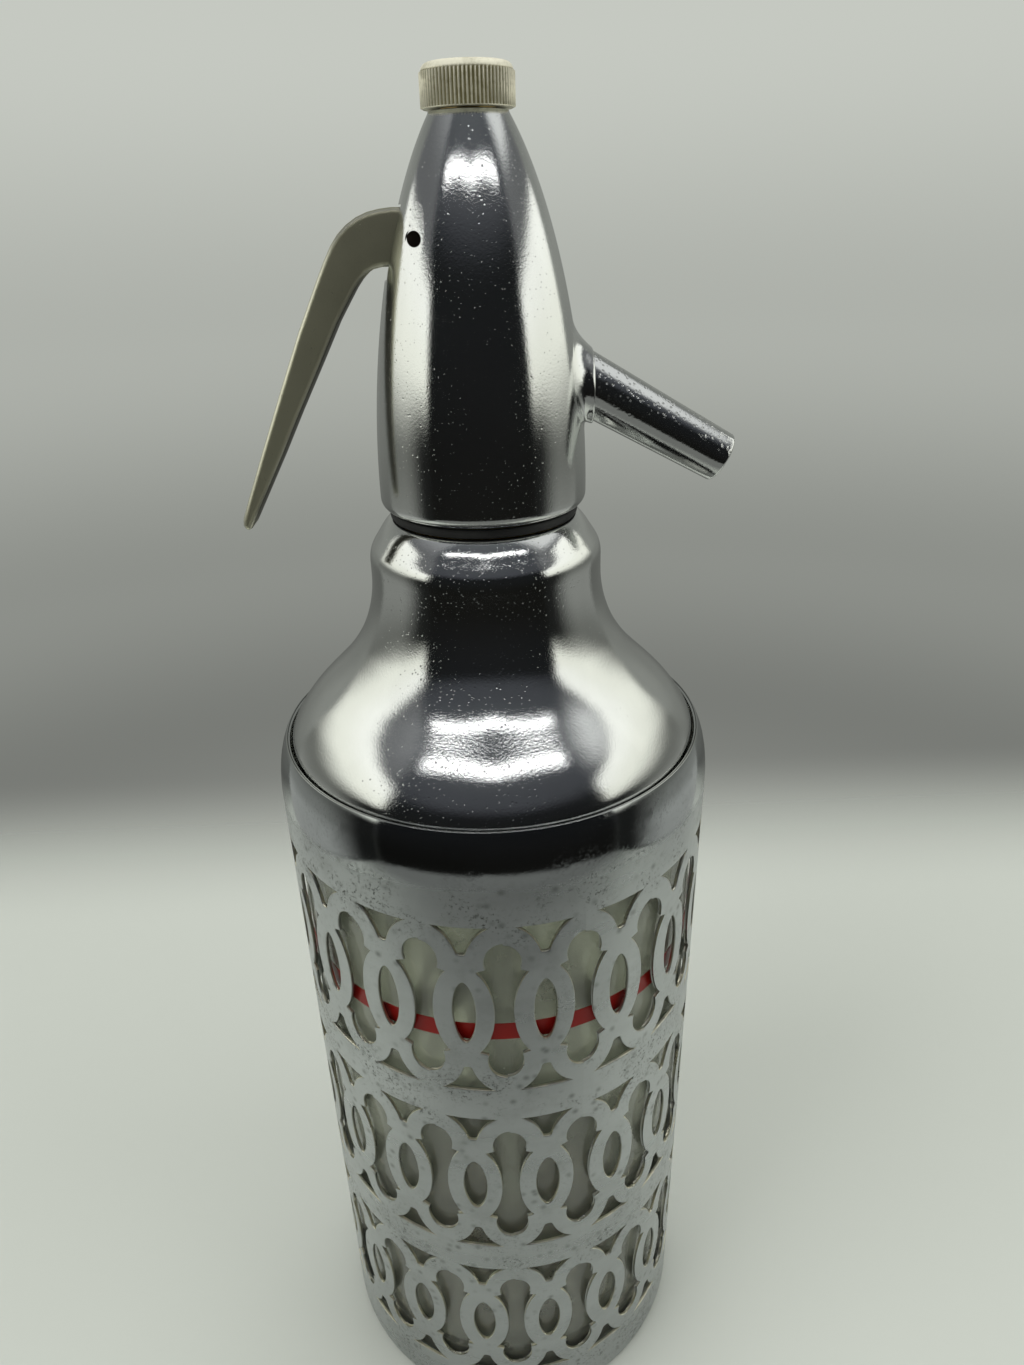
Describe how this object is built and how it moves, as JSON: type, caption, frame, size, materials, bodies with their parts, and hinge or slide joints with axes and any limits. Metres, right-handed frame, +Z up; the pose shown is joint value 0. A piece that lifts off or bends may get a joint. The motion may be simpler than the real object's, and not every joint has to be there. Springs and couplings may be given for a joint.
{
  "type": "soda siphon",
  "caption": "Glass soda siphon in a pierced steel jacket: chromed bell shoulder, tall head with squeeze lever, downturned spout and knurled charging cap",
  "frame": {"origin": "middle of the foot pad's underside, on the bottle's axis", "axes": "+Z up along the bottle, +X towards the spout, the lever hangs on the -X side"},
  "size_m": [0.1113, 0.1092, 0.3535],
  "materials": {
    "chrome": "polished, finely pitted",
    "plated_steel": "plated sheet, dulled and speckled",
    "steel": "satin",
    "cast_aluminium": "satin cast",
    "aluminium": "knurled, worn",
    "brass": "machined",
    "glass": "clear, slightly green, thick",
    "rubber": "matte black",
    "clear_plastic": "translucent",
    "cork": "cork"
  },
  "bodies": {
    "bottle": {"glass_bottle": "glass", "foot_pad": "rubber", "base_cup": "steel", "bottle_cushion": "cork", "jacket": "plated_steel", "shoulder_dome": "chrome", "collar_half_front": "brass", "collar_half_back": "brass", "neck_coupling": "brass"},
    "head_lift": {"mouth_gasket": "rubber", "head_seal_ring": "rubber"},
    "head": {"head_housing": "chrome", "spout_tube": "chrome", "valve_body": "brass", "dip_tube_nut": "brass", "valve_seat": "brass", "dip_tube": "clear_plastic", "stem_seal": "rubber", "gland_nut": "brass", "lever_pin": "steel", "charging_nipple": "brass", "check_retainer": "brass", "check_spring": "steel"},
    "lever": {"lever": "cast_aluminium"},
    "stem": {"valve_stem": "brass", "valve_disc": "rubber", "lift_collar": "brass", "return_spring": "steel"},
    "check_ball": {"check_ball": "steel"},
    "cap_lift": {"cap_washer": "rubber"},
    "cap": {"knurled_cap": "aluminium"}
  },
  "joints": [
    {"name": "head_rise", "type": "slide", "parent": "bottle", "child": "head_lift", "axis": [0, 0, 1], "range_m": [0, 0.00501]},
    {"name": "head_unscrew", "type": "hinge", "parent": "head_lift", "child": "head", "pos_m": [0, 0, 0.27], "axis": [0, 0, 1], "range_deg": [0, 900]},
    {"name": "lever_squeeze", "type": "hinge", "parent": "head", "child": "lever", "pos_m": [-0.0114, 0, 0.324], "axis": [0, -1, 0], "range_deg": [0, 14], "stiffness_Nm_per_rad": 1, "springref_deg": -28.65},
    {"name": "stem_lift", "type": "slide", "parent": "head", "child": "stem", "axis": [0, 0, 1], "range_m": [0, 0.00317], "deforming": ["return_spring"]},
    {"name": "check_open", "type": "slide", "parent": "head", "child": "check_ball", "axis": [0, 0, -1], "range_m": [0, 0.0008], "stiffness_N_per_m": 60, "springref_m": -0.0004, "deforming": ["check_spring"]},
    {"name": "cap_rise", "type": "slide", "parent": "head", "child": "cap_lift", "axis": [0, 0, 1], "range_m": [0, 0.00301]},
    {"name": "cap_unscrew", "type": "hinge", "parent": "cap_lift", "child": "cap", "pos_m": [0, 0, 0.35], "axis": [0, 0, 1], "range_deg": [0, 1080]}
  ],
  "couplings": [
    {"joint": "head_rise", "follows": "head_unscrew", "m_per_rad": 0.00031831},
    {"joint": "stem_lift", "follows": "lever_squeeze", "m_per_rad": 0.0129},
    {"joint": "cap_rise", "follows": "cap_unscrew", "m_per_rad": 0.00015915}
  ]
}
